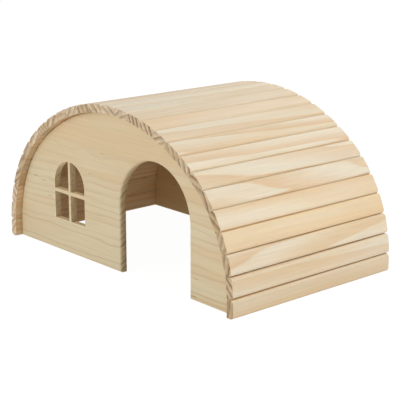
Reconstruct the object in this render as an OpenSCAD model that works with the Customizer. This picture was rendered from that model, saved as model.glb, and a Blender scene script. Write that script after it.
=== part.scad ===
// Arched rabbit house of pine: two arched end boards under a barrel roof of slats, open underneath.
// Millimetres. The origin is on the ground, at the middle of the footprint.
// +X is to the right seen from the front, +Y goes to the back and +Z is up.

/* [House] */
// Width over the lowest roof slats
house_w = 420; // [390:1:480]
// Length of the roof slats, front to back
house_l = 248; // [180:1:360]
// Height over the crown slat
house_h = 197; // [185:1:220]
// Height of the upright foot of the side walls, below the arch
wall_h = 15; // [8:1:22]
// Angle, up from level, over which the side arcs run before the flatter crown arc
haunch_angle = 51; // [44:1:60]

/* [End boards] */
// Thickness of the end boards
panel_t = 9; // [6:0.5:15]
// How far the slats stand out past the end boards
overhang = 9; // [3:0.5:20]

/* [Doorway] */
// Width of the doorway
door_w = 122; // [90:1:135]
// Height of the doorway at the top of its round head
door_h = 142.5; // [110:0.5:150]
// Middle of the doorway, to the right of the middle of the house
door_x = 69.5; // [60:0.5:85]
// Width of the bevel that eases the doorway's edges
door_ease = 2; // [0.5:0.1:3]

/* [Window] */
// Width of the window
window_w = 61; // [40:1:80]
// Height of the window at the top of its round head
window_h = 75; // [55:1:90]
// Height of the window's sill above the ground
window_sill = 40; // [25:1:50]
// Middle of the window, to the left of the middle of the house
window_x = 91.5; // [80:0.5:105]
// Width of the cross bars
bar_w = 4; // [3:0.5:8]
// Height of the middle of the cross bar above the sill
bar_rise = 35.5; // [25:0.5:45]

/* [Roof slats] */
// Number of slats
slat_count = 27; // [21:2:29]
// Thickness of a slat
slat_t = 10; // [6:0.5:14]
// Width of the lowest slat on each side, which is ripped narrower to end at the ground
foot_slat_w = 21.4; // [16:0.1:24]
// Gap between neighbouring slats along the board's edge
slat_gap = 0.2; // [0.1:0.1:1]
// Radius of a slat's outer long edges
slat_edge_r = 4; // [1:0.1:5]
// Radius of the lowest slats' outer ground edges
foot_edge_r = 4; // [1:0.1:5]
// Radius of the edges of a slat's inner face
slat_inner_r = 0.5; // [0.2:0.1:1]
// Radius of the other edges round a slat's ends
slat_end_r = 1; // [0.4:0.1:2]

/* [Brads] */
// Diameter of a brad
brad_d = 1.4; // [1:0.1:2]
// Length of a brad
brad_l = 22; // [16:1:28]
// Filled wood left over the brad's head
brad_cover = 1.5; // [0.5:0.1:3]
// Room round a brad in its hole, across the diameter
brad_fit = 0.1; // [0.05:0.05:0.3]

/* [Hidden] */
$fn = 96;
// Cutters run past the faces that they open by this much
past = 1;
panel_tone = "#DCC79C";
slat_tone = "#EAD9B5";
steel_tone = "#9B9B98";

// The end boards' edge is a three-centred arch: a crown arc between two tighter side arcs on short uprights
panel_half = house_w / 2 - slat_t;
panel_h = house_h - slat_t;
rise = panel_h - wall_h;
crown_share = tan(45 - haunch_angle / 2);
haunch_r = (rise - panel_half * crown_share) / (1 - crown_share);
haunch_x = panel_half - haunch_r;
crown_r = haunch_r + haunch_x / cos(haunch_angle);
crown_z = wall_h - haunch_x * tan(haunch_angle);

// Lengths along that edge, measured from the top of the crown
crown_turn = 90 - haunch_angle;
crown_len = crown_r * crown_turn * PI / 180;
haunch_len = haunch_r * haunch_angle * PI / 180;
half_edge = crown_len + haunch_len + wall_h;

// All slats but the lowest two share what is left of the edge
slat_w = (2 * half_edge - 2 * foot_slat_w - (slat_count - 1) * slat_gap) / (slat_count - 2);
slat_pitch = slat_w + slat_gap;
middle_slat = (slat_count + 1) / 2;

// Middle of each end board's thickness, in front of and behind the origin
panel_y = house_l / 2 - overhang - panel_t / 2;

function slat_name(i) = str("roof_slat_", i < 10 ? "0" : "", i);

// Tilt of the edge's outward normal from straight up, at a distance from the crown
function edge_turn(s) =
    abs(s) < crown_len ? s / crown_r * 180 / PI :
    abs(s) < crown_len + haunch_len ? sign(s) * (crown_turn + (abs(s) - crown_len) / haunch_r * 180 / PI) :
    sign(s) * 90;

// Point of the edge at that distance, as [x, z]
function edge_point(s) =
    abs(s) < crown_len ? [crown_r * sin(edge_turn(s)), crown_z + crown_r * cos(edge_turn(s))] :
    abs(s) < crown_len + haunch_len ?
        [sign(s) * haunch_x + haunch_r * sin(edge_turn(s)), wall_h + haunch_r * cos(edge_turn(s))] :
    [sign(s) * panel_half, half_edge - abs(s)];

function is_foot(i) = i == 1 || i == slat_count;
function slat_place(i) =
    is_foot(i) ? sign(i - middle_slat) * (half_edge - foot_slat_w / 2) : (i - middle_slat) * slat_pitch;
function slat_width(i) = is_foot(i) ? foot_slat_w : slat_w;

// Stands its children on the boards' edge at a slat, with their +Z pointing out of the arch
module at_slat(i) {
    p = edge_point(slat_place(i));
    translate([p[0], 0, p[1]]) rotate([0, edge_turn(slat_place(i)), 0]) children();
}

// Flat bar on the X axis with rounded corners: one radius along the axis, two for the far corners
module eased_bar(w, t, r_in, r_low, r_high) {
    near = min(r_in, t / 3);
    low = min(r_low, t - near);
    high = min(r_high, t - near);
    polygon([
        [-w / 2 + near, 0], [w / 2 - near, 0], [w / 2, near], [w / 2, t - high],
        [w / 2 - high, t], [-w / 2 + low, t], [-w / 2, t - low], [-w / 2, near]
    ]);
    for (x = [-w / 2 + near, w / 2 - near]) translate([x, near]) circle(near);
    translate([-w / 2 + low, t - low]) circle(low);
    translate([w / 2 - high, t - high]) circle(high);
}

// Upright extrusion of a drawing in X and Z, centred on its Y
module upright(depth) {
    translate([0, depth / 2, 0]) rotate([90, 0, 0]) linear_extrude(depth) children();
}

// Hole that a brad fills, from under the filled wood to just past the brad's point
module brad_hole() {
    translate([0, 0, slat_t - brad_cover - brad_l]) cylinder(h = brad_l, d = brad_d + brad_fit);
}

// Headless brad with a short point
module brad() {
    point = brad_d;
    translate([0, 0, slat_t - brad_cover - brad_l + point]) cylinder(h = brad_l - point, d = brad_d);
    translate([0, 0, slat_t - brad_cover - brad_l]) cylinder(h = point, d1 = brad_d / 3, d2 = brad_d);
}

// Arched outline of both end boards
module board_outline() {
    reach = crown_r / sin(haunch_angle) + past;
    translate([-panel_half, 0]) square([2 * panel_half, wall_h]);
    intersection() {
        translate([-panel_half, wall_h]) square([2 * panel_half, rise]);
        union() {
            for (side = [-1, 1]) translate([side * haunch_x, wall_h]) circle(haunch_r);
            intersection() {
                translate([0, crown_z]) circle(crown_r);
                translate([0, crown_z]) polygon([
                    [0, 0],
                    [reach * cos(haunch_angle), reach * sin(haunch_angle)],
                    [-reach * cos(haunch_angle), reach * sin(haunch_angle)]
                ]);
            }
        }
    }
}

// Round-headed opening that stands on the X axis
module arched_opening(w, h) {
    translate([-w / 2, 0]) square([w, h - w / 2]);
    translate([0, h - w / 2]) circle(w / 2);
}

// Four panes of the window, round the cross bars
module window_panes() {
    difference() {
        arched_opening(window_w, window_h);
        translate([-bar_w / 2, -past]) square([bar_w, window_h + 2 * past]);
        translate([-window_w / 2 - past, bar_rise - bar_w / 2]) square([window_w + 2 * past, bar_w]);
    }
}

// Bevel cutter round the doorway's edge, for a face that looks along -Y at y = 0
module door_bevel() {
    r = door_w / 2;
    straight = door_h - r;
    wide = r + door_ease + past;
    translate([0, -past, straight]) rotate([-90, 0, 0]) cylinder(h = door_ease + past, r1 = wide, r2 = r);
    translate([0, 0, -past]) linear_extrude(straight + past)
        polygon([[-wide, -past], [wide, -past], [r, door_ease], [-r, door_ease]]);
}

module board() {
    difference() {
        upright(panel_t) board_outline();
        for (i = [1:slat_count]) at_slat(i) brad_hole();
    }
}

module front_panel() {
    color(panel_tone) translate([0, -panel_y, 0]) difference() {
        board();
        translate([door_x, 0, 0]) {
            upright(panel_t + 2 * past) translate([0, -past]) arched_opening(door_w, door_h + past);
            for (turn = [0, 180]) rotate([0, 0, turn]) translate([0, -panel_t / 2, 0]) door_bevel();
        }
        translate([-window_x, 0, window_sill]) upright(panel_t + 2 * past) window_panes();
    }
}

module back_panel() {
    color(panel_tone) translate([0, panel_y, 0]) board();
}

// Slat with all its edges eased: its section, its side view and its plan cut one another
module roof_slat(i) {
    w = slat_width(i);
    color(slat_tone) at_slat(i) difference() {
        intersection() {
            upright(house_l) eased_bar(
                w, slat_t, slat_inner_r,
                i == 1 ? foot_edge_r : slat_edge_r,
                i == slat_count ? foot_edge_r : slat_edge_r
            );
            rotate([90, 0, 90]) linear_extrude(w + 2 * past, center = true)
                eased_bar(house_l, slat_t, slat_inner_r, slat_end_r, slat_end_r);
            translate([0, -house_l / 2, -past]) linear_extrude(slat_t + 2 * past)
                rotate(90) translate([house_l / 2, -w / 2])
                    eased_bar(house_l, w, slat_end_r, slat_end_r, slat_end_r);
        }
        for (y = [-panel_y, panel_y]) translate([0, y, 0]) brad_hole();
    }
}

module brad_row(y) {
    color(steel_tone) for (i = [1:slat_count]) at_slat(i) translate([0, y, 0]) brad();
}

module front_brads() {
    brad_row(-panel_y);
}

module back_brads() {
    brad_row(panel_y);
}

front_panel();
back_panel();
for (i = [1:slat_count]) {
    roof_slat(i);
}
front_brads();
back_brads();
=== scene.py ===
"""Dresses an arched rabbit house: two pine end boards, a barrel roof of slats and the brads inside them."""

import logging
import random
from collections.abc import Callable, Iterable, Sequence
from dataclasses import dataclass, field, replace
from enum import Enum
from functools import partial
from math import acos, ceil, copysign, cos, pi, radians, sin, tan

import bmesh
import bpy
from bpy.types import ID, Material, Mesh, Node, NodeSocket, NodeTree, Object, World
from mathutils import Euler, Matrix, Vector
from mathutils.geometry import tessellate_polygon


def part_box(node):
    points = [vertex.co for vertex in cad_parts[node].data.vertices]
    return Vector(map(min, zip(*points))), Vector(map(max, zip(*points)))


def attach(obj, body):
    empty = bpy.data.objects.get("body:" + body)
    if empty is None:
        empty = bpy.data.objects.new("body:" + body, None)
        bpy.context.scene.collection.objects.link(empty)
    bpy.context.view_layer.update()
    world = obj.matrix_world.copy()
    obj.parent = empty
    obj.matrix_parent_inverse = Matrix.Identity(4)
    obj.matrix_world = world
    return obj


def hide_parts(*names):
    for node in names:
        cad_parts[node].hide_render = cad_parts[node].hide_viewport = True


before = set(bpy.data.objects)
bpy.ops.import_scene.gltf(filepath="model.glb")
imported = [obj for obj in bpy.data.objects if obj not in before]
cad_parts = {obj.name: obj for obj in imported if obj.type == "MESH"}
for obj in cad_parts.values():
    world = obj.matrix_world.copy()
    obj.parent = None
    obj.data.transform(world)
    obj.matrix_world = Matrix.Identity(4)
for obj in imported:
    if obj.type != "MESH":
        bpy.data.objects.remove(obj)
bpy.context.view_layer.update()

LOG = logging.getLogger("rabbit_house")
MM = 0.001
BODY = "root"
PHOTO_PX = 400
WHITE = (1.0, 1.0, 1.0, 1.0)
# A point less deep than this counts as lying on a face
SKIN = 0.01 * MM
# Largest angle between neighbouring points of an arc
ARC_STEP = radians(2)

# Each point of a wooden piece carries its place in the log; its tone; whether its face is left rough, which
# also gives it painted shade; its lightness, which on the window's sawn edges is painted light; and how its
# sawn ends
# look: their rings' slant, how dark they are and their rings' strength
LOG_PLACE = "log_place"
CUT = "cut"
SAWN_END = "sawn_end"
# While a slat is made, its points also carry their way out of its section and how far its end is drawn in
OUTWARD = "outward"
INSET = "inset"

# Node kinds in frequent use. A noise takes a place, its scale and its detail, and a range takes a value,
# the span that it lies in and the span that it is turned into
MATH = "ShaderNodeMath"
VECTOR = "ShaderNodeVectorMath"
RANGE = "ShaderNodeMapRange"
MIX = "ShaderNodeMix"
NOISE = "ShaderNodeTexNoise"
SPLIT = "ShaderNodeSeparateXYZ"
JOIN = "ShaderNodeCombineXYZ"
# Most of a noise's values lie in this span
NOISE_SPAN = (0.3, 0.7)

Point = tuple[float, float]
Size = tuple[float, float]
Span = tuple[float, float]
Place = tuple[float, float, float]
Colour = tuple[float, float, float, float]
Adder = Callable[..., Node]


class Grain(Enum):
    """Direction in which the fibres of a piece run, as a unit vector of the house's frame."""

    ACROSS_THE_FRONT = (1.0, 0.0, 0.0)
    FRONT_TO_BACK = (0.0, 1.0, 0.0)


class Slot(Enum):
    """Material slots of the house's record."""

    BOARD = "pine_board"
    SLAT = "pine_slat"
    BRAD = "brad_steel"


def linear(hex_code: str) -> Colour:
    """Turns an sRGB hex colour into linear values.

    Args:
        hex_code: Colour as six hex digits after a hash.

    Returns:
        Linear red, green, blue and an alpha of 1.
    """
    parts = [int(hex_code[i : i + 2], 16) / 255 for i in (1, 3, 5)]
    red, green, blue = (p / 12.92 if p <= 0.04045 else ((p + 0.055) / 1.055) ** 2.4 for p in parts)
    return red, green, blue, 1.0


def add_node(
    tree: NodeTree, kind: str, inputs: dict | Sequence = (), operation: str | None = None, **settings
) -> Node:
    """Adds a node to a shader or geometry tree.

    Args:
        tree: Tree that gets the node.
        kind: Node type, such as ShaderNodeMath.
        inputs: What goes into its sockets, by name or in the order of those in use: a plain value, a socket
            to link from, or a node whose first output in use is linked.
        operation: What a node for sums works out.
        settings: Other properties, which are set before the inputs.

    Returns:
        The new node.
    """
    node = tree.nodes.new(kind)
    if operation:
        node.operation = operation
    for name, value in settings.items():
        setattr(node, name, value)
    if isinstance(inputs, dict):
        sockets = [node.inputs[name] for name in inputs]
        inputs = list(inputs.values())
    else:
        sockets = [socket for socket in node.inputs if socket.enabled]
    for socket, value in zip(sockets, inputs):
        if isinstance(value, Node):
            value = next(out for out in value.outputs if out.enabled)
        if isinstance(value, NodeSocket):
            tree.links.new(value, socket)
        else:
            socket.default_value = value
    return node


def start_nodes(owner: Material | World) -> Adder:
    """Empties the node tree of a material or a world.

    Args:
        owner: Material or world to start on.

    Returns:
        The function that adds a node to that tree.
    """
    owner.use_nodes = True
    owner.node_tree.nodes.clear()
    return partial(add_node, owner.node_tree)


def place_object(name: str, data: ID) -> Object:
    """Puts a mesh, a lamp or a camera into the scene.

    Args:
        name: Name of the object.
        data: What the object shows.

    Returns:
        The object, at the origin.
    """
    placed = bpy.data.objects.new(name, data)
    bpy.context.scene.collection.objects.link(placed)
    return placed


def finish_piece(piece: Object, stands_for: Iterable[str]) -> None:
    """Hands a finished piece to the frame.

    Args:
        piece: The piece's object.
        stands_for: Names of the CAD nodes that it replaces.
    """
    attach(piece, BODY)
    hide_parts(*stands_for)
    LOG.info("%s: %d faces", piece.name, len(piece.data.polygons))


@dataclass(frozen=True)
class PineFinish:
    """Planed, unfinished pine: growth rings cut through by each face, fine fibres and a few resin marks.

    The eye sees cream early wood that darkens to peach late wood and jumps back at the ring's edge, in long
    flames on the faces and as dark diagonal bands on the duller end grain. Wood near the pith is warmer.
    Faces left as sawn, such as the inner faces, are rougher and get painted shade: a darker, warmer tint.

    Attributes:
        end_blotch: Lightness of the most soiled blotches on the ends.
        end_scale: Ring count on the ends against that on the faces.
        wobble_mm: How far the rings stray.
        wave_mm: Size of their waves across and along the fibres, as for the other patterns.
        heart_mm: Radius of the warmer wood with weak rings round the pith.
        late_from: Part of a ring at which its late wood starts.
        fleck_share: Share of the places for a resin mark that have one.
        late_start: Share of late wood where it starts.
        late_steps: Later parts of a ring and their shares of late wood.
        year_scale: How fast the rings' strength changes from year to year.
        heart_edge: Radii, against the heart's, between which the rings gain their strength.
        heart_rings: Strength of the rings inside it.
        warm_edge: Radii, against the heart's, between which its warmth fades.
        end_edge: Parts of a normal along the fibres between which a face turns into an end.
        fleck_edge: Distance from a resin mark's middle where it starts and where it is darkest.
        painted_shade_levels: Lightness of the painted shade on the rough faces, from the lightest to the
            darkest pieces.
        clean_end: Lightness of the least soiled blotches on the ends.
        fibre_relief: Height of the fibres against that of the late wood.
    """

    name: str
    grain: Grain
    early: str
    early_warm: str
    late: str
    end_early: str
    end_warm: str
    end_late: str
    end_blotch: float
    end_scale: float
    resin: str
    # Painted shade of the faces left rough: a darker, warmer tint
    painted_shade_tint: str
    ring_mm: float
    wobble_mm: float
    wave_mm: Size
    heart_mm: float
    late_from: float
    weakest_ring: float
    late_share: float
    fleck_share: float
    # Fibres are a few hundredths of a millimetre wide, too fine to show, so they are drawn coarser
    fibre_mm: Size = (0.9, 70.0)
    streak_mm: Size = (2.5, 120.0)
    patch_mm: Size = (20.0, 240.0)
    blotch_mm: Size = (4.5, 4.5)
    fleck_mm: Size = (3.5, 40.0)
    late_start: float = 0.06
    late_steps: tuple[tuple[float, float], ...] = ((0.84, 0.85), (0.92, 1.0), (0.98, 0.1))
    year_scale: float = 0.55
    heart_edge: Span = (0.83, 1.05)
    heart_rings: float = 0.25
    warm_edge: Span = (0.75, 1.1)
    heart_warmth: float = 0.8
    tone_warmth: float = 0.5
    patch_span: Span = (0.32, 0.68)
    patch_warmth: Span = (-0.25, 0.75)
    end_edge: Span = (0.55, 0.97)
    fleck_edge: Span = (0.17, 0.07)
    streak_span: Span = (0.7, 1.3)
    streak_light: Span = (0.94, 1.04)
    pore_light: Span = (0.9, 1.06)
    blotch_span: Span = (0.36, 0.6)
    clean_end: float = 1.04
    painted_shade_levels: Span = (1.12, 0.8)
    fibre_relief: float = 0.5
    relief_strength: float = 0.35
    relief_mm: float = 0.08
    early_rough: float = 0.56
    late_rough: float = 0.44
    sawn_rough: float = 0.25
    ior: float = 1.5

    def make(self) -> Material:
        """Builds the material.

        Returns:
            The node material, which reads what each point of a piece carries.
        """
        material = bpy.data.materials.new(self.name)
        PineNodes(self, start_nodes(material)).build()
        return material


class PineNodes:
    """Nodes of a pine finish."""

    def __init__(self, finish: PineFinish, add: Adder) -> None:
        """Adds the nodes that the others share.

        Args:
            finish: Colours and sizes of the wood.
            add: Adds a node to the material.
        """
        self.finish = finish
        self.add = add
        self.heart = finish.heart_mm * MM
        names = (LOG_PLACE, CUT, SAWN_END)
        carried = (add("ShaderNodeAttribute", attribute_name=name).outputs["Vector"] for name in names)
        self.place, cut, ends = carried
        self.tone, self.sawn, self.shade = add(SPLIT, [cut]).outputs
        self.slant, self.dark, self.rings = add(SPLIT, [ends]).outputs
        self.radius = self._radius()
        self.late = self._late_wood(self.radius)
        self.fibre = add(NOISE, [self._stretched(finish.fibre_mm), 1.0, 3.0])

    def build(self) -> None:
        """Joins planed faces, sawn ends and rough inner faces with painted shade, and gives them relief."""
        add, finish = self.add, self.finish
        planed = add(MIX, [self._end_grain(), self._face(), self._end()], data_type="RGBA")
        # Faces left rough get painted shade: a darker, warmer tint, deeper on pieces with darker ends
        painted_shade_depth = add(RANGE, [self.dark, 0.0, 1.0, *finish.painted_shade_levels])
        inside = add(VECTOR, [linear(finish.painted_shade_tint)[:3], painted_shade_depth], "SCALE")
        colour = add(MIX, [self.sawn, planed, inside], data_type="RGBA", blend_type="MULTIPLY")
        height = add(MATH, [self.fibre, finish.fibre_relief, self.late], "MULTIPLY_ADD")
        relief = {"Height": height, "Strength": finish.relief_strength, "Distance": finish.relief_mm * MM}
        bump = add("ShaderNodeBump", relief)
        # Dense late wood planes smoother than early wood, and sawn faces stay rough
        smooth = add(RANGE, [self.late, 0.0, 1.0, finish.early_rough, finish.late_rough])
        rough = add(MATH, [self.sawn, finish.sawn_rough, smooth], "MULTIPLY_ADD")
        looks = {"Base Color": colour, "Normal": bump, "Roughness": rough, "IOR": finish.ior}
        add("ShaderNodeOutputMaterial", [add("ShaderNodeBsdfPrincipled", looks)])

    def _stretched(self, size_mm: Size) -> Node:
        """Place in the log, measured in a pattern's sizes across and along the fibres."""
        across, along = (1 / (size * MM) for size in size_mm)
        return self.add(VECTOR, [self.place, (across, along, across)], "MULTIPLY")

    def _radius(self) -> Node:
        """Measures the distance from the log's pith and makes it uneven.

        Returns:
            The distance in metres.
        """
        add, finish = self.add, self.finish
        radius = add(VECTOR, [add(VECTOR, [self.place, (1.0, 0.0, 1.0)], "MULTIPLY")], "LENGTH")
        wave = add(NOISE, [self._stretched(finish.wave_mm), 1.0, 1.0])
        return add(MATH, [wave, 2 * finish.wobble_mm * MM, radius], "MULTIPLY_ADD")

    def _late_wood(self, radius: Node) -> Node:
        """Grows late wood through each ring and ends it sharply; it is weakest near the pith.

        Args:
            radius: Distance from the pith.

        Returns:
            The share of late wood.
        """
        add, finish = self.add, self.finish
        ring = add(MATH, [radius, finish.ring_mm * MM], "DIVIDE")
        ramp = add("ShaderNodeValToRGB", [add(MATH, [ring], "FRACT")])
        stops = ramp.color_ramp.elements
        stops.remove(stops[1])
        for part, level in ((finish.late_from, finish.late_start), *finish.late_steps):
            stops.new(part).color = (level, level, level, 1.0)
        years = add(NOISE, [ring, finish.year_scale, 1.0], noise_dimensions="1D")
        strength = add(RANGE, [years, *NOISE_SPAN, finish.weakest_ring, 1.0])
        grown = add(MATH, [ramp, strength], "MULTIPLY")
        edge = (part * self.heart for part in finish.heart_edge)
        age = add(RANGE, [radius, *edge, finish.heart_rings, 1.0])
        return add(MATH, [grown, age], "MULTIPLY")

    def _end_grain(self) -> Node:
        """Tells ends from faces by their normals.

        Returns:
            One where the fibres are cut across, zero where they lie in the face.
        """
        normal = self.add("ShaderNodeNewGeometry").outputs["Normal"]
        along = self.add(VECTOR, [normal, self.finish.grain.value], "DOT_PRODUCT")
        return self.add(RANGE, [self.add(MATH, [along], "ABSOLUTE"), *self.finish.end_edge])

    def _warmth(self) -> Node:
        """Adds up the piece's own tone, broad patches and the warm wood near the pith.

        Returns:
            The share of the warm early tone.
        """
        add, finish = self.add, self.finish
        patch = add(NOISE, [self._stretched(finish.patch_mm), 1.0, 1.0])
        spread = add(RANGE, [patch, *finish.patch_span, *finish.patch_warmth])
        own = add(MATH, [self.tone, finish.tone_warmth, spread], "MULTIPLY_ADD")
        edge = (part * self.heart for part in finish.warm_edge)
        warm = add(RANGE, [self.radius, *edge, finish.heart_warmth, 0.0])
        return add(MATH, [own, warm], "ADD", use_clamp=True)

    def _face(self) -> Node:
        """Mixes the two early tones, late wood, streaks and resin marks.

        Returns:
            The colour of a planed face, with the piece's lightness, painted light on the window's sawn
            edges.
        """
        add, finish = self.add, self.finish
        tones = [self._warmth(), linear(finish.early), linear(finish.early_warm)]
        early = add(MIX, tones, data_type="RGBA")
        share = add(MATH, [self.late, finish.late_share], "MULTIPLY")
        wood = add(MIX, [share, early, linear(finish.late)], data_type="RGBA")
        streak = add(NOISE, [self._stretched(finish.streak_mm), 1.0, 2.0])
        lines = add(MATH, [self.fibre, streak], "ADD")
        light = add(RANGE, [lines, *finish.streak_span, *finish.streak_light])
        streaked = add(VECTOR, [wood, light], "SCALE")
        marked = add(MIX, [self._flecks(), streaked, linear(finish.resin)], data_type="RGBA")
        return add(VECTOR, [marked, self.shade], "SCALE")

    def _flecks(self) -> Node:
        """Scatters dark dashes of resin, a few millimetres long.

        Returns:
            One in a dash, zero elsewhere.
        """
        cells = self.add("ShaderNodeTexVoronoi", [self._stretched(self.finish.fleck_mm), 1.0])
        near = self.add(RANGE, [cells, *self.finish.fleck_edge])
        draw = self.add(SPLIT, [cells.outputs["Color"]])
        chosen = self.add(MATH, [draw, self.finish.fleck_share], "LESS_THAN")
        return self.add(MATH, [near, chosen], "MULTIPLY")

    def _end(self) -> Node:
        """Draws the rings across a sawn end, its pores and the dust that it soaks up in blotches.

        Returns:
            The colour of a sawn end.
        """
        add, finish = self.add, self.finish
        # Rings cross most ends aslant, also where the face shows them lying almost flat. They are drawn
        # coarser than they grow, because on a sawn end the finest ones blur into the next
        slanted = add(MATH, [add(SPLIT, [self.place]), self.slant, self.radius], "MULTIPLY_ADD")
        coarse = add(MATH, [slanted, finish.end_scale], "MULTIPLY")
        bands = add(MATH, [self._late_wood(coarse), self.rings], "MULTIPLY")
        early = add(MIX, [self.dark, linear(finish.end_early), linear(finish.end_warm)], data_type="RGBA")
        across = add(MIX, [bands, early, linear(finish.end_late)], data_type="RGBA")
        pores = add(RANGE, [self.fibre, *NOISE_SPAN, *finish.pore_light])
        # Sawn ends soak up dust and handling unevenly
        blotch = add(NOISE, [self._stretched(finish.blotch_mm), 1.0, 2.0])
        soaked = add(RANGE, [blotch, *finish.blotch_span, finish.end_blotch, finish.clean_end])
        return add(VECTOR, [across, add(MATH, [pores, soaked], "MULTIPLY")], "SCALE")


@dataclass(frozen=True)
class WireFinish:
    """Bright drawn steel wire: a grey metal with fine draw lines along it."""

    name: str
    bright: str
    dull: str
    roughness: float
    line_mm: float = 0.4

    def make(self) -> Material:
        """Builds the material.

        Returns:
            The node material.
        """
        material = bpy.data.materials.new(self.name)
        add = start_nodes(material)
        place = add("ShaderNodeTexCoord").outputs["Object"]
        lines = add(NOISE, [place, 1 / (self.line_mm * MM), 2.0])
        colour = add(MIX, [lines, linear(self.bright), linear(self.dull)], data_type="RGBA")
        looks = {"Base Color": colour, "Metallic": 1.0, "Roughness": self.roughness}
        add("ShaderNodeOutputMaterial", [add("ShaderNodeBsdfPrincipled", looks)])
        return material


SLAT_PINE = PineFinish(
    name="planed_pine_slat",
    grain=Grain.FRONT_TO_BACK,
    early="#EDE0C7",
    early_warm="#EAD2AC",
    late="#DDAA69",
    end_early="#F3DBB9",
    end_warm="#CFB488",
    end_late="#8A5E32",
    end_blotch=0.8,
    end_scale=0.66,
    resin="#BE9A6C",
    painted_shade_tint="#ECDDC8",
    ring_mm=5.5,
    wobble_mm=1.2,
    wave_mm=(26.0, 120.0),
    heart_mm=20.0,
    late_from=0.3,
    weakest_ring=0.4,
    late_share=0.68,
    fleck_share=0.012,
)
BOARD_PINE = PineFinish(
    name="planed_pine_board",
    grain=Grain.ACROSS_THE_FRONT,
    early="#E5D5B1",
    early_warm="#E4CA9F",
    late="#BF9A6A",
    end_early="#D4C198",
    end_warm="#CCB58A",
    end_late="#8C754A",
    end_blotch=0.88,
    end_scale=1.0,
    resin="#A98A5E",
    painted_shade_tint="#E6D9C0",
    ring_mm=6.4,
    wobble_mm=3.2,
    wave_mm=(16.0, 50.0),
    heart_mm=102.0,
    late_from=0.55,
    weakest_ring=0.15,
    late_share=0.42,
    fleck_share=0.1,
)
BRAD_WIRE = WireFinish(name="drawn_steel_wire", bright="#B9B9B6", dull="#8E8E8A", roughness=0.32)


def arc(centre: Point, radius: float, start: float, end: float, step: float = ARC_STEP) -> list[Point]:
    """Points of a circular arc.

    Args:
        centre: Centre as x and z.
        radius: Radius in metres.
        start: First angle, up from +X, in radians.
        end: Last angle.
        step: Largest angle between neighbouring points.

    Returns:
        Points as x and z, both ends included.
    """
    count = max(1, ceil(abs(end - start) / step))
    angles = [start + (end - start) * i / count for i in range(count + 1)]
    return [(centre[0] + radius * cos(a), centre[1] + radius * sin(a)) for a in angles]


@dataclass
class Arch:
    """Edge of the end boards: a crown arc between two tighter side arcs, on short upright feet.

    Attributes:
        haunch_angle: Turn of each side arc.
        upright_share: Share of a foot's height at which a point keeps the lowest slat upright.
        haunch_x: Distance of the side arcs' centres from the middle.
        crown_z: Height of the crown arc's centre, below the ground where it is negative.
        crown_length: Length of the crown arc on one side of its top.
        half_length: Length of the edge from the ground to the top of the crown.
    """

    half_width: float
    height: float
    foot: float = 15 * MM
    haunch_angle: float = radians(51)
    upright_share: float = 0.9

    def __post_init__(self) -> None:
        """Works out the arcs."""
        share = tan(pi / 4 - self.haunch_angle / 2)
        self.haunch_radius = (self.height - self.foot - self.half_width * share) / (1 - share)
        self.haunch_x = self.half_width - self.haunch_radius
        self.crown_radius = self.haunch_radius + self.haunch_x / cos(self.haunch_angle)
        self.crown_z = self.foot - self.haunch_x * tan(self.haunch_angle)
        self.crown_length = self.crown_radius * (pi / 2 - self.haunch_angle)
        self.half_length = self.foot + self.haunch_radius * self.haunch_angle + self.crown_length

    def points(self, step: float = ARC_STEP) -> list[Point]:
        """Walks the edge from the left foot to the right foot.

        Args:
            step: Largest angle between neighbouring points of an arc.

        Returns:
            Points as x and z.
        """
        side = arc((self.haunch_x, self.foot), self.haunch_radius, 0.0, self.haunch_angle, step)
        crown = arc((0.0, self.crown_z), self.crown_radius, self.haunch_angle, pi / 2, step)
        foot = [(self.half_width, 0.0), (self.half_width, self.upright_share * self.foot)]
        right = foot + side + crown[1:]
        left = [(-x, z) for x, z in right[:-1]]
        return left + right[::-1]


@dataclass
class Doorway:
    """Round-headed doorway that is open to the ground."""

    middle: float = 69.5 * MM
    width: float = 122 * MM
    height: float = 142.5 * MM
    ease: float = 3.0 * MM
    inner_ease: float = 0.8 * MM

    def points(self) -> list[Point]:
        """Walks the opening from its right foot over the head to its left foot.

        Returns:
            Points as x and z.
        """
        radius = self.width / 2
        head = arc((self.middle, self.height - radius), radius, 0.0, pi)
        return [(self.middle + radius, 0.0), *head, (self.middle - radius, 0.0)]


@dataclass
class Window:
    """Round-headed window whose cross bars leave four panes.

    Attributes:
        ring_share: Strength of the rings on its sawn edges.
        painted_edge_light: Painted light on its sawn edges: their lightness against the board's face.
        margin: Share of its size by which a point of its rounded edges may lie outside.
    """

    middle: float = -91.5 * MM
    sill: float = 40 * MM
    width: float = 61 * MM
    height: float = 75 * MM
    bar: float = 4 * MM
    bar_rise: float = 35.5 * MM
    ease: float = 0.6 * MM
    ring_share: float = 0.3
    painted_edge_light: float = 1.4
    margin: float = 0.01

    def panes(self) -> list[list[Point]]:
        """Outlines of the four panes.

        Returns:
            One list of x and z points for each pane, with the wood on the right hand of its walk.
        """
        radius = self.width / 2
        half_bar = self.bar / 2
        low = self.bar_rise - half_bar
        high = self.bar_rise + half_bar
        top = acos(half_bar / radius)
        lower = [(half_bar, 0.0), (radius, 0.0), (radius, low), (half_bar, low)]
        head = arc((0.0, self.height - radius), radius, 0.0, top)
        upper = [(half_bar, high), (radius, high), *head]
        return [
            [(self.middle + side * x, self.sill + z) for x, z in pane[::side]]
            for side in (-1, 1)
            for pane in (lower, upper)
        ]

    def holds(self, x: float, z: float) -> bool:
        """Tells whether a point is as far to the side and as high as the window."""
        across, up = (x - self.middle) / self.width, (z - self.sill) / self.height
        return abs(across) < 0.5 + self.margin and -self.margin < up < 1 + self.margin


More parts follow.
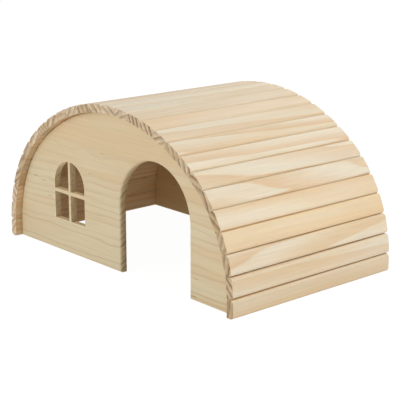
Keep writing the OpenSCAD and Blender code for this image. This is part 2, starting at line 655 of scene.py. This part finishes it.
@dataclass(frozen=True)
class LogPlace:
    """Where a piece was sawn from its log.

    Attributes:
        side: Angle between the piece's face and the rings: 0 is flat sawn, 90 quarter sawn, in degrees.
        distance: Distance of the piece's middle from the pith, in millimetres.
        lean: Slope of the fibres out of the face, in degrees.
        yaw: Slope of the fibres across the face, in degrees.
        along: Place along the log, in millimetres.
        growth: Ring count against the finish's own.
        tone: From -1, pale, to 1, warm.
        shade: Lightness of the faces against the finish's own.
        end_slant: Slope of the rings added on the ends.
        end_dark: Darkness of the ends, and depth of the painted shade on the rough inner face, from 0 to 1.
        end_rings: Strength of the rings on the ends.
    """

    side: float
    distance: float
    lean: float = 0.0
    yaw: float = 0.0
    along: float = 0.0
    growth: float = 1.0
    tone: float = 0.0
    shade: float = 1.0
    end_slant: float = 0.0
    end_dark: float = 0.4
    end_rings: float = 1.0

    @property
    def pith(self) -> Vector:
        """The piece's middle seen from the pith, as across, along and deep."""
        turn = radians(self.side)
        return Vector((self.distance * sin(turn), self.along, self.distance * cos(turn))) * MM

    @property
    def turn(self) -> Euler:
        """Turn of the fibres against the piece."""
        return Euler((radians(self.lean), 0.0, radians(self.yaw)))


@dataclass(frozen=True)
class Rim:
    """Closed outline of a board's edge or of an opening in it, with the wood on the right of its walk.

    Attributes:
        points: Outline as x and z.
        eases: Radii that round the outer and the inner edge at each point.
    """

    points: list[Point]
    eases: list[Size]

    def ways_in(self) -> list[Vector]:
        """Ways into the wood, one for each point.

        Returns:
            Vectors in x and z, longer where the outline turns so that both of its stretches move in by one.
        """
        count = len(self.points)
        ways = []
        for i in range(count):
            before, here, after = (Vector(self.points[(i + k) % count]) for k in (-1, 0, 1))
            walks = ((here - before).normalized(), (after - here).normalized())
            first, second = (Vector((walk.y, -walk.x)) for walk in walks)
            ways.append((first + second) / (1 + first.dot(second)))
        return ways


@dataclass
class EndBoard:
    """Arched end board with eased edges, cut from one wide board whose fibres run across the house."""

    name: str
    arch: Arch
    outer: float
    inner: float
    log: LogPlace
    door: Doorway | None = None
    window: Window | None = None
    ease: float = 1.8 * MM
    round_steps: int = 5
    crease: float = radians(35)

    @property
    def thickness(self) -> float:
        """Thickness of the board."""
        return abs(self.inner - self.outer)

    def rims(self) -> list[Rim]:
        """Lists the board's outlines.

        Returns:
            The outer edge with the doorway in it, then the panes of the window.
        """
        edge = self.arch.points()
        eases = [(self.ease, self.ease)] * len(edge)
        if self.door:
            opening = self.door.points()
            edge += opening
            eases += [(self.door.ease, self.door.inner_ease)] * len(opening)
        panes = self.window.panes() if self.window else []
        return [Rim(edge, eases), *(Rim(pane, [(self.window.ease,) * 2] * len(pane)) for pane in panes)]

    def build(self, material: Material) -> Object:
        """Makes the board.

        Args:
            material: Finish of the board.

        Returns:
            The board's object.
        """
        mesh = bpy.data.meshes.new(self.name)
        shape = self._shape()
        shape.to_mesh(mesh)
        shape.free()
        self._mark(mesh)
        mesh.materials.append(material)
        return place_object(self.name, mesh)

    def _shape(self) -> bmesh.types.BMesh:
        """Joins both flat faces by rims that are rounded towards each of them.

        Returns:
            The closed shape.
        """
        shape = bmesh.new()
        rims = [self._rows(shape, rim) for rim in self.rims()]
        for rows in rims:
            for row, below in zip(rows, rows[1:]):
                for i in range(len(row)):
                    face = shape.faces.new((row[i - 1], row[i], below[i], below[i - 1]))
                    face.smooth = True
        for side in (0, -1):
            loops = [rows[side] for rows in rims]
            corners = [vertex for loop in loops for vertex in loop]
            for triangle in tessellate_polygon([[vertex.co for vertex in loop] for loop in loops]):
                shape.faces.new([corners[i] for i in triangle])
        bmesh.ops.recalc_face_normals(shape, faces=shape.faces)
        for edge in shape.edges:
            edge.smooth = edge.calc_face_angle() < self.crease
        return shape

    def _rows(self, shape: bmesh.types.BMesh, rim: Rim) -> list[list[bmesh.types.BMVert]]:
        """Lays rows of points round a rim.

        Args:
            shape: Mesh that gets the points.
            rim: The rim's outline.

        Returns:
            Rows from the outer face, over its rounded edge and the one opposite, to the inner face.
        """
        inwards = copysign(1.0, self.inner - self.outer)
        turns = [pi / 2 * i / self.round_steps for i in range(self.round_steps + 1)]
        rounds = [(0, self.outer, inwards, turn) for turn in turns[::-1]]
        rounds += [(1, self.inner, -inwards, turn) for turn in turns]
        ways = rim.ways_in()
        rows = []
        for side, face, towards, turn in rounds:
            row = []
            for (x, z), way, ease in zip(rim.points, ways, rim.eases):
                inset = ease[side] * (1 - cos(turn))
                depth = ease[side] * (1 - sin(turn))
                row.append(shape.verts.new((x + way.x * inset, face + towards * depth, z + way.y * inset)))
            rows.append(row)
        return rows

    def _is_rough_with_painted_shade(self, x: float, depth: float) -> bool:
        """Tells whether a point is left rough and gets painted shade: on the inner face or the doorway's
        inner half.
        """
        by_door = self.door is not None and abs(x - self.door.middle) < self.door.width / 2 + self.door.ease
        return depth > (self.thickness / 2 if by_door else self.thickness - SKIN)

    def _mark(self, mesh: Mesh) -> None:
        """Writes each point's place in the log, the board's tone, its rough parts with their painted shade,
        painted light on the window's sawn edges and its ends' look.

        Args:
            mesh: The board's mesh.
        """
        names = (LOG_PLACE, CUT, SAWN_END)
        for name in names:
            mesh.attributes.new(name, "FLOAT_VECTOR", "POINT")
        places, cuts, ends = (mesh.attributes[name].data for name in names)
        turn = self.log.turn.to_matrix()
        for vertex, place, cut, end in zip(mesh.vertices, places, cuts, ends):
            x, y, z = vertex.co
            depth = abs(y - self.outer)
            rings, shade = self.log.end_rings, self.log.shade
            if self.window and self.window.holds(x, z):
                rings = self.window.ring_share
                # Painted light: the window's sawn edges are drawn lighter than the board's face
                if SKIN < depth < self.thickness - SKIN:
                    shade = self.window.painted_edge_light
            place.vector = turn @ (Vector((z, x, depth)) * self.log.growth) + self.log.pith
            cut.vector = (self.log.tone, float(self._is_rough_with_painted_shade(x, depth)), shade)
            end.vector = (self.log.end_slant, self.log.end_dark, rings)


@dataclass
class SlatTree:
    """Geometry tree that sweeps one eased slat and stands it on the boards' edge.

    Attributes:
        ring_count: Number of sections along a slat.
        round_rings: Number of them that round each end.
        corner_steps: Number of points added to a rounded corner of the section.
        sanding_mm: Size of the uneven sanding.
        inner_share: How far the ends' inner edges are drawn in, against their outer ones.
        flat: A face counts as flat where its normal has a part larger than this.
        rough_with_painted_shade_mm: Height over the inner face up to which the wood is left rough and gets
            painted shade.
        sockets: Identifiers of the tree's inputs, by name.
    """

    ring_count: int = 45
    round_rings: int = 5
    corner_steps: int = 7
    sanding_mm: float = 26.0
    inner_share: float = 0.25
    flat: float = 0.9995
    rough_with_painted_shade_mm: float = 0.05
    sockets: dict[str, str] = field(default_factory=dict)

    def __post_init__(self) -> None:
        """Makes the tree, names its inputs and joins its steps."""
        self.group = bpy.data.node_groups.new("slat_on_arch", "GeometryNodeTree")
        numbers = (
            "Place", "Width", "Thickness", "Side Bevel", "Length", "Outer Edge Radius", "Inner Edge Radius",
            "End Radius", "Unevenness", "Growth", "Tone", "Shade",
        )
        kinds = {"Geometry": "Geometry", "Material": "Material", "Seed": "Int"}
        kinds |= dict.fromkeys(("Pith", "Lean", "Sawn End"), "Vector") | dict.fromkeys(numbers, "Float")
        for key, kind in kinds.items():
            socket = self.group.interface.new_socket(key, in_out="INPUT", socket_type="NodeSocket" + kind)
            self.sockets[key] = socket.identifier
        self.group.interface.new_socket("Geometry", in_out="OUTPUT", socket_type="NodeSocketGeometry")
        self.add = add = partial(add_node, self.group)
        self.given = add("NodeGroupInput").outputs
        curves = {"Curve": self._line(), "Profile Curve": self._section(), "Fill Caps": True}
        self.slat = add("GeometryNodeCurveToMesh", curves)
        for step in (self._ease, self._flare, self._smooth, self._mark, self._stand_on_edge):
            step()
        whole = add("GeometryNodeRealizeInstances", [self.slat])
        dressed = add("GeometryNodeSetMaterial", {"Geometry": whole, "Material": self.given["Material"]})
        add("NodeGroupOutput", [dressed])

    def run(self, name: str, path: Mesh, values: dict) -> Object:
        """Makes one slat and keeps it as a plain mesh.

        Args:
            name: Name of the slat's object.
            path: Edge of the boards.
            values: The tree's inputs, by name.

        Returns:
            The slat's object.
        """
        carrier = place_object(name + "_path", path)
        modifier = carrier.modifiers.new("slat", "NODES")
        modifier.node_group = self.group
        for key, value in values.items():
            modifier[self.sockets[key]] = value
        graph = bpy.context.evaluated_depsgraph_get()
        made = carrier.evaluated_get(graph)
        mesh = bpy.data.meshes.new_from_object(made, preserve_all_data_layers=True, depsgraph=graph)
        bpy.data.objects.remove(carrier)
        mesh.name = name
        return place_object(name, mesh)

    def _section(self) -> Node:
        """Rounds the corners of a slat's section, whose points carry their way out.

        The sweep turns the section over, so the side at -Y becomes the slat's outer face.

        Returns:
            The section's curve.
        """
        add, given = self.add, self.given
        sizes = [given["Width"], given["Thickness"]]
        section = add("GeometryNodeCurvePrimitiveQuadrilateral", sizes, mode="RECTANGLE")
        position = add("GeometryNodeInputPosition")
        outer = add(MATH, [add(SPLIT, [position]).outputs[1], 0.0], "LESS_THAN")
        radius = add(MIX, [outer, given["Inner Edge Radius"], given["Outer Edge Radius"]])
        rounded = add("GeometryNodeFilletCurve", [section, self.corner_steps, radius], mode="POLY")
        # A point's way out leads from the nearest point of the section less its corners' radii
        half = add(VECTOR, [add(JOIN, [*sizes, 1.0]), 0.5], "SCALE")
        high = add(VECTOR, [half, radius], "SUBTRACT")
        low = add(VECTOR, [high, -1.0], "SCALE")
        core = add(VECTOR, [add(VECTOR, [position, low], "MAXIMUM"), high], "MINIMUM")
        outward = add(VECTOR, [add(VECTOR, [position, core], "SUBTRACT")], "NORMALIZE")
        return self._carry(rounded, OUTWARD, outward, "FLOAT_VECTOR")

    def _line(self) -> Node:
        """Lays a line from end to end, with close rings that round both ends.

        Returns:
            The line's curve, whose points carry how far the end is drawn in.
        """
        add, radius = self.add, self.given["End Radius"]
        last = float(self.ring_count - 1)
        line = add("GeometryNodeCurvePrimitiveLine", [(0.0, -1.0, 0.0), (0.0, 1.0, 0.0)])
        rings = add("GeometryNodeResampleCurve", {"Curve": line, "Count": self.ring_count}, mode="COUNT")
        index = add("GeometryNodeInputIndex")
        from_end = add(MATH, [index, add(MATH, [last, index], "SUBTRACT")], "MINIMUM")
        angle = add(RANGE, [from_end, 0.0, self.round_rings, 0.0, pi / 2])
        bend = add(RANGE, [add(MATH, [angle], "COSINE"), 1.0, 0.0, 0.0, radius])
        half = add(MATH, [self.given["Length"], 0.5], "MULTIPLY")
        room = add(MATH, [half, radius], "SUBTRACT")
        straight = add(RANGE, [from_end, self.round_rings, last / 2, 0.0, room])
        depth = add(MATH, [bend, straight], "ADD")
        side = add(MATH, [add(MATH, [index, last / 2], "SUBTRACT")], "SIGN")
        along = add(MATH, [side, add(MATH, [half, depth], "SUBTRACT")], "MULTIPLY")
        moved = add("GeometryNodeSetPosition", {"Geometry": rings, "Position": add(JOIN, {"Y": along})})
        inset = add(RANGE, [add(MATH, [angle], "SINE"), 1.0, 0.0, 0.0, radius])
        return self._carry(moved, INSET, inset, "FLOAT")

    def _carry(self, shape: Node, name: str, value: Node | NodeSocket, kind: str) -> Node:
        """Lets the points of a shape carry a named value."""
        carried = {"Geometry": shape, "Name": name, "Value": value}
        return self.add("GeometryNodeStoreNamedAttribute", carried, data_type=kind, domain="POINT")

    def _ease(self) -> None:
        """Draws in the edges round the ends and sands the long edges unevenly."""
        add, given = self.add, self.given
        outward = add("GeometryNodeInputNamedAttribute", [OUTWARD], data_type="FLOAT_VECTOR")
        inset = add("GeometryNodeInputNamedAttribute", [INSET], data_type="FLOAT")
        x, y, _ = add(SPLIT, [outward]).outputs
        # Edges of an end's outer side are eased fully, those at the neighbours and inside only a little
        drawn = add(MATH, [inset, add(RANGE, [y, 0.0, -1.0, self.inner_share, 1.0])], "MULTIPLY")
        corner = add(MATH, [add(MATH, [x, y], "MULTIPLY")], "ABSOLUTE")
        sanding = [add("GeometryNodeInputPosition"), given["Seed"], 1 / (self.sanding_mm * MM), 2.0]
        noise = add(NOISE, sanding, noise_dimensions="4D")
        rub = add(MATH, [noise, corner], "MULTIPLY")
        depth = add(MATH, [rub, given["Unevenness"], drawn], "MULTIPLY_ADD")
        inward = add(VECTOR, [add(JOIN, {"X": x, "Z": y}), (-1.0, 0.0, 1.0)], "MULTIPLY")
        offset = add(VECTOR, [inward, depth], "SCALE")
        self.slat = add("GeometryNodeSetPosition", {"Geometry": self.slat, "Offset": offset})

    def _flare(self) -> None:
        """Widens the slat outwards, to meet its neighbours over most of their depth, and lifts it."""
        add, given = self.add, self.given
        across, _, height = add(SPLIT, [add("GeometryNodeInputPosition")]).outputs
        side = add(MATH, [across, given["Width"]], "DIVIDE")
        level = add(MATH, [add(MATH, [height, given["Thickness"]], "DIVIDE"), 0.5], "ADD")
        spread = add(MATH, [add(MATH, [side, level], "MULTIPLY"), given["Side Bevel"]], "MULTIPLY")
        lift = add(MATH, [given["Thickness"], 0.5], "MULTIPLY")
        offset = add(JOIN, {"X": spread, "Z": lift})
        self.slat = add("GeometryNodeSetPosition", {"Geometry": self.slat, "Offset": offset})

    def _smooth(self) -> None:
        """Shades the rounded edges smooth and keeps the flat faces flat."""
        add = self.add
        x, y, z = add(SPLIT, [add(VECTOR, [add("GeometryNodeInputNormal")], "ABSOLUTE")]).outputs
        most = add(MATH, [add(MATH, [x, y], "MAXIMUM"), z], "MAXIMUM")
        curved = add(MATH, [most, self.flat], "LESS_THAN")
        self.slat = add("GeometryNodeSetShadeSmooth", {"Geometry": self.slat, "Shade Smooth": curved})

    def _mark(self) -> None:
        """Writes each point's log place, the slat's tone, its rough face with painted shade and its ends'
        look.
        """
        add, given = self.add, self.given
        position = add("GeometryNodeInputPosition")
        lean = {"Vector": add(VECTOR, [position, given["Growth"]], "SCALE"), "Rotation": given["Lean"]}
        turned = add("ShaderNodeVectorRotate", lean, rotation_type="EULER_XYZ")
        place = add(VECTOR, [turned, given["Pith"]], "ADD")
        # The inner face is left rough and gets painted shade
        rough = add(MATH, [add(SPLIT, [position]).outputs[2], self.rough_with_painted_shade_mm * MM], "LESS_THAN")
        cut = add(JOIN, [given["Tone"], rough, given["Shade"]])
        for name, value in ((LOG_PLACE, place), (CUT, cut), (SAWN_END, given["Sawn End"])):
            self.slat = self._carry(self.slat, name, value, "FLOAT_VECTOR")
        for name in (OUTWARD, INSET):
            self.slat = add("GeometryNodeRemoveAttribute", {"Geometry": self.slat, "Name": name})

    def _stand_on_edge(self) -> None:
        """Places the slat on the boards' edge, square to it, with its outer face outwards."""
        add, given = self.add, self.given
        where = {"Curves": add("GeometryNodeMeshToCurve", [given["Geometry"]]), "Length": given["Place"]}
        sample = add("GeometryNodeSampleCurve", where, mode="LENGTH", use_all_curves=True).outputs
        axes = [sample["Tangent"], Grain.FRONT_TO_BACK.value]
        turn = add("FunctionNodeAxesToRotation", axes, primary_axis="X", secondary_axis="Y")
        point = add("GeometryNodePoints", [1, sample["Position"]])
        copies = {"Points": point, "Instance": self.slat, "Rotation": turn}
        self.slat = add("GeometryNodeInstanceOnPoints", copies)


@dataclass
class Roof:
    """Barrel roof of slats that lie on the boards' edges and stand out past them at both ends.

    Attributes:
        clearance: Distance that the slats keep from the CAD model's box.
        closed_share: Share of the wedge between neighbours that their leaning sides close.
        square_sided: Numbers of the slats whose sides don't lean.
        shortening: Most that a slat is shorter than the roof.
        flat_share: Share of the slats, of those whose place in a log is drawn, that are flat sawn.
        path_step: Largest angle between neighbouring points of the edge that the slats follow.
        log_step: Distance along the log between the slats whose place in it is chosen, in millimetres.
        chosen: Places in the log by slat number; the other slats' places are drawn.
    """

    arch: Arch
    count: int
    thickness: float
    length: float
    foot_width: float = 21.4 * MM
    gap: float = 0.05 * MM
    clearance: float = 0.01 * MM
    edge_radius: float = 4.0 * MM
    inner_radius: float = 0.8 * MM
    end_radius: float = 0.7 * MM
    closed_share: float = 0.93
    square_sided: tuple[int, ...] = ()
    unevenness: float = 0.3 * MM
    shortening: float = 0.4 * MM
    path_step: float = radians(0.5)
    log_step: float = 100.0
    flat_share: float = 0.4
    seed: int = 11
    chosen: dict[int, LogPlace] = field(default_factory=dict)

    @property
    def slat_width(self) -> float:
        """Width of all slats but the lowest two."""
        free = 2 * (self.arch.half_length - self.foot_width) - (self.count - 1) * self.gap
        return free / (self.count - 2)

    def place(self, number: int) -> float:
        """Finds a slat on the boards' edge.

        Args:
            number: The slat's number.

        Returns:
            Distance of its middle from the left foot, along the edge.
        """
        if number == 1:
            return self.foot_width / 2
        if number == self.count:
            return 2 * self.arch.half_length - self.foot_width / 2
        return self.arch.half_length + (number - (self.count + 1) / 2) * (self.slat_width + self.gap)

    def width(self, number: int) -> float:
        """Width of a slat."""
        return self.foot_width - 2 * self.clearance if number in (1, self.count) else self.slat_width

    def side_bevel(self, number: int) -> float:
        """Leans a slat's sides, to close most of the wedge beside it.

        Args:
            number: The slat's number.

        Returns:
            How much wider its outer face is than its inner one.
        """
        if number in self.square_sided:
            return 0.0
        from_top = abs(self.place(number) - self.arch.half_length)
        radius = self.arch.crown_radius if from_top < self.arch.crown_length else self.arch.haunch_radius
        return self.closed_share * self.thickness * self.slat_width / radius

    def build(self, material: Material) -> list[Object]:
        """Makes all slats.

        Args:
            material: Finish of the slats.

        Returns:
            The slats' objects, from the left foot over the crown to the right foot.
        """
        maker = SlatTree()
        path = self._path()
        dice = random.Random(self.seed)
        slats = []
        for number in range(1, self.count + 1):
            length = self.length - dice.uniform(0.0, self.shortening)
            log = self._draw_log(dice)
            if number in self.chosen:
                log = replace(self.chosen[number], along=number * self.log_step)
            values = {
                "Place": self.place(number),
                "Width": self.width(number),
                "Thickness": self.thickness - self.clearance,
                "Side Bevel": self.side_bevel(number),
                "Length": length,
                "Outer Edge Radius": self.edge_radius,
                "Inner Edge Radius": self.inner_radius,
                "End Radius": self.end_radius,
                "Unevenness": self.unevenness,
                "Seed": number,
                "Pith": log.pith,
                "Lean": log.turn,
                "Growth": log.growth,
                "Tone": log.tone,
                "Shade": log.shade,
                "Sawn End": (log.end_slant, log.end_dark, log.end_rings),
                "Material": material,
            }
            slats.append(maker.run(f"pine_slat_{number:02d}", path, values))
        return slats

    def _draw_log(self, dice: random.Random) -> LogPlace:
        """Draws where in a log a slat was sawn; fewer are flat sawn than cut aslant to the rings.

        Args:
            dice: Seeded source of the draws.

        Returns:
            The place in the log.
        """
        flat = dice.random() < self.flat_share
        return LogPlace(
            side=dice.uniform(-22, 22) if flat else dice.choice((-1, 1)) * dice.uniform(30, 65),
            distance=dice.uniform(35, 110),
            lean=dice.choice((-1, 1)) * dice.uniform(0.8, 3.0),
            yaw=dice.uniform(-0.8, 0.8),
            along=dice.uniform(0, 20000),
            growth=dice.uniform(0.7, 1.2),
            tone=dice.uniform(-0.9, 0.9),
            shade=dice.uniform(0.93, 1.01),
            end_slant=dice.uniform(-0.9, 0.9),
            end_dark=dice.uniform(0.0, 0.7),
            end_rings=dice.uniform(0.7, 1.3),
        )

    def _path(self) -> Mesh:
        """Draws the boards' edge for the slats to follow.

        Returns:
            A mesh of edges alone.
        """
        points = [(x, 0.0, z) for x, z in self.arch.points(self.path_step)]
        mesh = bpy.data.meshes.new("arch_path")
        mesh.from_pydata(points, [(i, i + 1) for i in range(len(points) - 1)], [])
        return mesh


@dataclass
class Brads:
    """Headless brads inside the wood, which keep their CAD shape."""

    nodes: tuple[str, ...] = ("front_brads", "back_brads")

    def dress(self, material: Material) -> None:
        """Gives the brads their finish.

        Args:
            material: Finish of the wire.
        """
        for name in self.nodes:
            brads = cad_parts[name]
            brads.data.materials.clear()
            brads.data.materials.append(material)
            LOG.info("%s: CAD shape, %s", name, material.name)


@dataclass(frozen=True)
class SoftBox:
    """Square soft box that looks at the middle of the house."""

    name: str
    place: Place
    watts: float
    size: float = 1.4
    aim: Place = (0.0, 0.0, 0.08)

    def build(self) -> None:
        """Hangs the lamp."""
        data = bpy.data.lights.new(self.name, "AREA")
        data.size = self.size
        data.energy = self.watts
        lamp = place_object(self.name, data)
        lamp.location = self.place
        lamp.rotation_mode = "QUATERNION"
        lamp.rotation_quaternion = (Vector(self.aim) - Vector(self.place)).to_track_quat("-Z", "Y")


@dataclass
class Studio:
    """Pale floor, soft light and the camera at the photograph's place.

    Attributes:
        horizon: Light from all round, low down.
        zenith: Light from straight above.
        glow_shares: Share of the floor's light that is its own, as it lights the house and as it is seen.
    """

    azimuth: float = radians(48.717)
    elevation: float = radians(14.906)
    distance: float = 1.2502
    target: Place = (0.15814, -0.124, 0.11921)
    focal_px: float = 1198.0
    sensor_mm: float = 36.0
    clip: Span = (0.05, 100.0)
    horizon: float = 0.54
    zenith: float = 0.44
    backdrop: float = 1.0
    floor_reach: float = 40.0
    floor_tone: Colour = (0.85, 0.85, 0.85, 1.0)
    floor_glow: float = 1.08
    glow_shares: Span = (0.25, 0.9)
    lamps: tuple[SoftBox, ...] = (
        SoftBox("roof_soft_box", (1.42, 0.48, 1.62), 19.5),
        SoftBox("front_soft_box", (-0.4, -2.0, 0.7), 10.4),
        SoftBox("back_soft_box", (-0.7, 1.7, 0.9), 10.4),
    )

    def build(self) -> None:
        """Makes the floor, the lights and the camera."""
        self._floor()
        self._world()
        for lamp in self.lamps:
            lamp.build()
        self._camera()
        bpy.context.scene.view_settings.view_transform = "Standard"

    def _floor(self) -> None:
        """Lays white paper on a light table, which the camera sees as almost evenly lit."""
        mesh = bpy.data.meshes.new("studio_floor")
        signs = ((-1, -1), (1, -1), (1, 1), (-1, 1))
        corners = [(x * self.floor_reach, y * self.floor_reach, 0.0) for x, y in signs]
        mesh.from_pydata(corners, [], [(0, 1, 2, 3)])
        floor = place_object("studio_floor", mesh)
        material = bpy.data.materials.new("white_paper_sweep")
        add = start_nodes(material)
        paper = add("ShaderNodeBsdfDiffuse", [self.floor_tone])
        glow = add("ShaderNodeEmission", [WHITE, self.floor_glow])
        seen = add("ShaderNodeLightPath").outputs["Is Camera Ray"]
        share = add(RANGE, [seen, 0.0, 1.0, *self.glow_shares])
        add("ShaderNodeOutputMaterial", [add("ShaderNodeMixShader", [share, paper, glow])])
        mesh.materials.append(material)

    def _world(self) -> None:
        """Lights the house from all round, a little more from low down, in front of a white backdrop."""
        world = bpy.data.worlds.new("white_studio")
        add = start_nodes(world)
        way = add("ShaderNodeTexCoord").outputs["Generated"]
        up = add(SPLIT, [way]).outputs[2]
        light = add(RANGE, [up, 0.0, 1.0, self.horizon, self.zenith])
        seen = add("ShaderNodeLightPath").outputs["Is Camera Ray"]
        shown = add(MIX, [seen, light, self.backdrop])
        add("ShaderNodeOutputWorld", [add("ShaderNodeBackground", [WHITE, shown])])
        bpy.context.scene.world = world

    def _camera(self) -> None:
        """Sets the camera at the photograph's angle, distance and focal length."""
        data = bpy.data.cameras.new("photo_camera")
        data.sensor_width = self.sensor_mm
        data.lens = self.focal_px / PHOTO_PX * self.sensor_mm
        data.clip_start, data.clip_end = self.clip
        camera = place_object("photo_camera", data)
        level = cos(self.elevation)
        across, forward = sin(self.azimuth) * level, -cos(self.azimuth) * level
        back = Vector((across, forward, sin(self.elevation)))
        camera.location = Vector(self.target) + back * self.distance
        camera.rotation_mode = "QUATERNION"
        camera.rotation_quaternion = (-back).to_track_quat("-Z", "Y")
        bpy.context.scene.camera = camera


# How the slats were sawn whose faces or ends show most, which decides the flames on their faces. Their tone
# and shade are partly the wood's own and partly painted light and shade
SLAT_CUTS = {
    1: LogPlace(40, 62, lean=1.0, tone=-0.3, shade=0.97, end_dark=0.25, end_rings=0.8),
    2: LogPlace(12, 84, lean=-1.6, tone=0.3, shade=0.98, end_dark=0.25, end_rings=0.5),
    3: LogPlace(-55, 70, lean=0.6, tone=-0.5, shade=0.99, end_dark=0.05),
    4: LogPlace(-10, 75, lean=1.4, tone=0.5, shade=0.96, end_slant=0.8, end_dark=0.7),
    5: LogPlace(35, 90, lean=-0.9, tone=-0.1, shade=0.99, end_slant=-0.2, end_dark=0.9),
    10: LogPlace(8, 60, lean=0.9, tone=0.2, shade=0.96, end_dark=0.6, end_rings=0.4),
    11: LogPlace(-48, 88, lean=-1.1, tone=-0.4, shade=0.97, end_dark=0.3, end_rings=0.7),
    12: LogPlace(75, 80, lean=0.5, tone=0.3, shade=0.96, end_dark=0.7, end_rings=1.2),
    13: LogPlace(48, 70, lean=0.8, tone=-0.2, shade=0.97, end_dark=0.3, end_rings=0.95),
    14: LogPlace(-6, 95.3, lean=0.4, tone=-0.8, shade=0.98, end_slant=0.8, end_dark=0.2, end_rings=0.8),
    15: LogPlace(4, 67.5, lean=0.3, shade=0.94, end_slant=-0.7, end_dark=0.2, end_rings=0.75),
    16: LogPlace(65, 60.4, lean=0.2, growth=1.4, tone=-0.1, shade=0.95, end_dark=0.5, end_rings=1.4),
    17: LogPlace(3, 80.2, lean=0.1, tone=0.3, end_slant=0.9, end_rings=1.4),
    18: LogPlace(-14.5, 93.9, lean=0.79, shade=0.98, end_slant=-0.6, end_rings=0.8),
    19: LogPlace(20, 88.6, lean=-1.2, tone=-0.1, shade=0.99, end_slant=0.5, end_dark=0.8, end_rings=0.6),
    20: LogPlace(16, 86.5, lean=-0.65, tone=-0.8, shade=1.02, end_slant=0.5),
    21: LogPlace(-9, 78.5, lean=1.3, tone=-0.8, shade=1.01, end_slant=-0.3, end_dark=0.7, end_rings=1.3),
    22: LogPlace(8.5, 86.2, lean=-2.2, tone=-0.4, shade=1.01, end_slant=0.12, end_dark=0.6, end_rings=1.1),
    23: LogPlace(-8, 73.9, lean=0.5, tone=0.6, shade=1.04, end_slant=-0.35, end_dark=1.0, end_rings=1.5),
    24: LogPlace(6, 78.8, lean=0.2, tone=1.8, shade=1.05, end_slant=0.7, end_dark=0.8, end_rings=0.7),
    25: LogPlace(10.3, 79.7, lean=1.6, tone=0.2, shade=1.01, end_slant=0.25, end_dark=0.75, end_rings=1.4),
    26: LogPlace(-16, 70, lean=0.61, shade=0.98, end_slant=-0.5, end_dark=0.6, end_rings=1.6),
    27: LogPlace(4, 68.3, lean=0.15, tone=0.6, shade=0.93, end_slant=0.1, end_dark=1.0, end_rings=0.85),
}


def main() -> None:
    """Builds the end boards, the roof, the brads' finish and the studio."""
    logging.basicConfig(level=logging.INFO, format="%(message)s")
    slats = sorted(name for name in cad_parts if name.startswith("roof_slat_"))
    crown_low, crown_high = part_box(slats[len(slats) // 2])
    front_low, front_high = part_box("front_panel")
    back_low, back_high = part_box("back_panel")
    arch = Arch(half_width=front_high.x, height=front_high.z)

    board_pine = BOARD_PINE.make()
    front = EndBoard(
        "pine_front_board", arch, outer=front_low.y, inner=front_high.y,
        log=LogPlace(side=-64, distance=183, yaw=0.6, along=3000),
        door=Doorway(), window=Window(),
    )
    finish_piece(front.build(board_pine), ["front_panel"])
    back = EndBoard(
        "pine_back_board", arch, outer=back_high.y, inner=back_low.y,
        log=LogPlace(side=-40, distance=70, yaw=-0.9, along=7000),
    )
    finish_piece(back.build(board_pine), ["back_panel"])

    roof = Roof(
        arch, len(slats), thickness=crown_high.z - crown_low.z, length=crown_high.y - crown_low.y,
        chosen=SLAT_CUTS, square_sided=(1, 25, 26, 27),
    )
    for name, slat in zip(slats, roof.build(SLAT_PINE.make())):
        finish_piece(slat, [name])
    Brads().dress(BRAD_WIRE.make())
    Studio().build()


if __name__ == "__main__":
    main()
